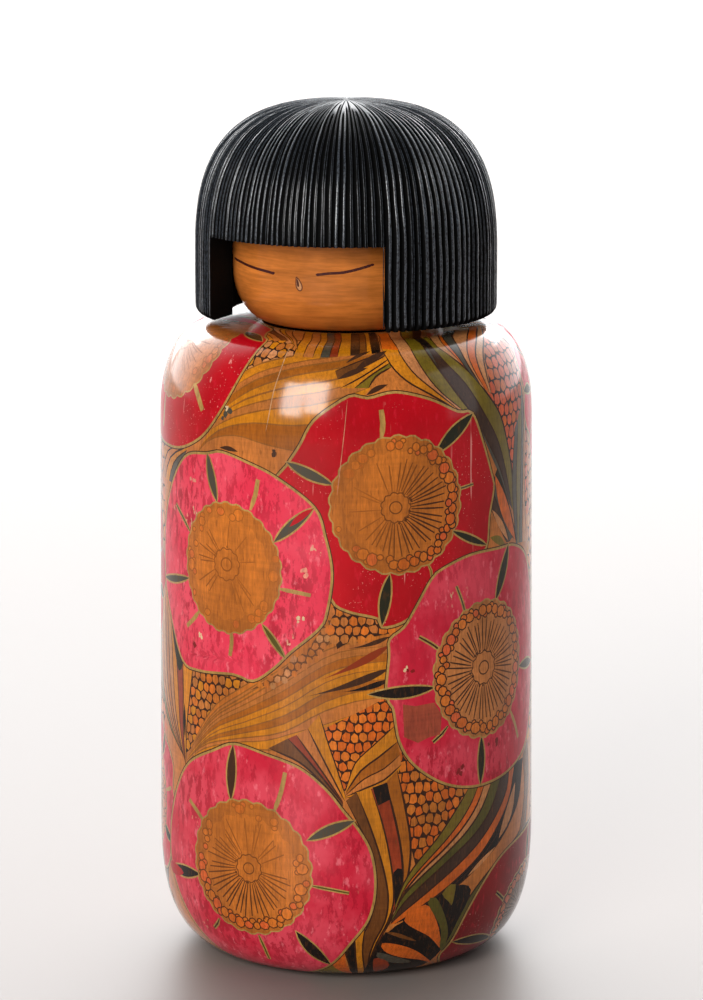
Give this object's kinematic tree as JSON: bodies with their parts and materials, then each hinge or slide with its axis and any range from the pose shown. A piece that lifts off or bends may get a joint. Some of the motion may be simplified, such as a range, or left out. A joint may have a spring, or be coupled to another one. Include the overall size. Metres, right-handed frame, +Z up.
{
  "type": "kokeshi doll",
  "caption": "Large turned-wood kokeshi doll with a painted cylindrical body and a round head under a carved, hollow hair cap; the head turns on a peg.",
  "frame": {"origin": "centre of the flat foot, on the surface the doll stands on", "axes": "+Z up along the turning axis, the face looks towards -Y at rest, +X to the doll's left"},
  "size_m": [0.1326, 0.1326, 0.3],
  "materials": {
    "painted_wood": "stained and painted flowers between burned lines, glossy clear lacquer, lightly worn",
    "face_wood": "orange-brown satin lacquer over fine straight grain",
    "black_lacquer": "black paint over carved grooves, semi-gloss on the ridges",
    "bare_wood": "unfinished"
  },
  "bodies": {
    "body": {"body": "painted_wood"},
    "head": {"head_core": "face_wood", "hair_cap": "black_lacquer", "neck_peg": "bare_wood"}
  },
  "joints": [
    {"name": "head_turn", "type": "hinge", "parent": "body", "child": "head", "pos_m": [0, 0, 0.2233], "axis": [0, 0, 1], "continuous": true}
  ]
}
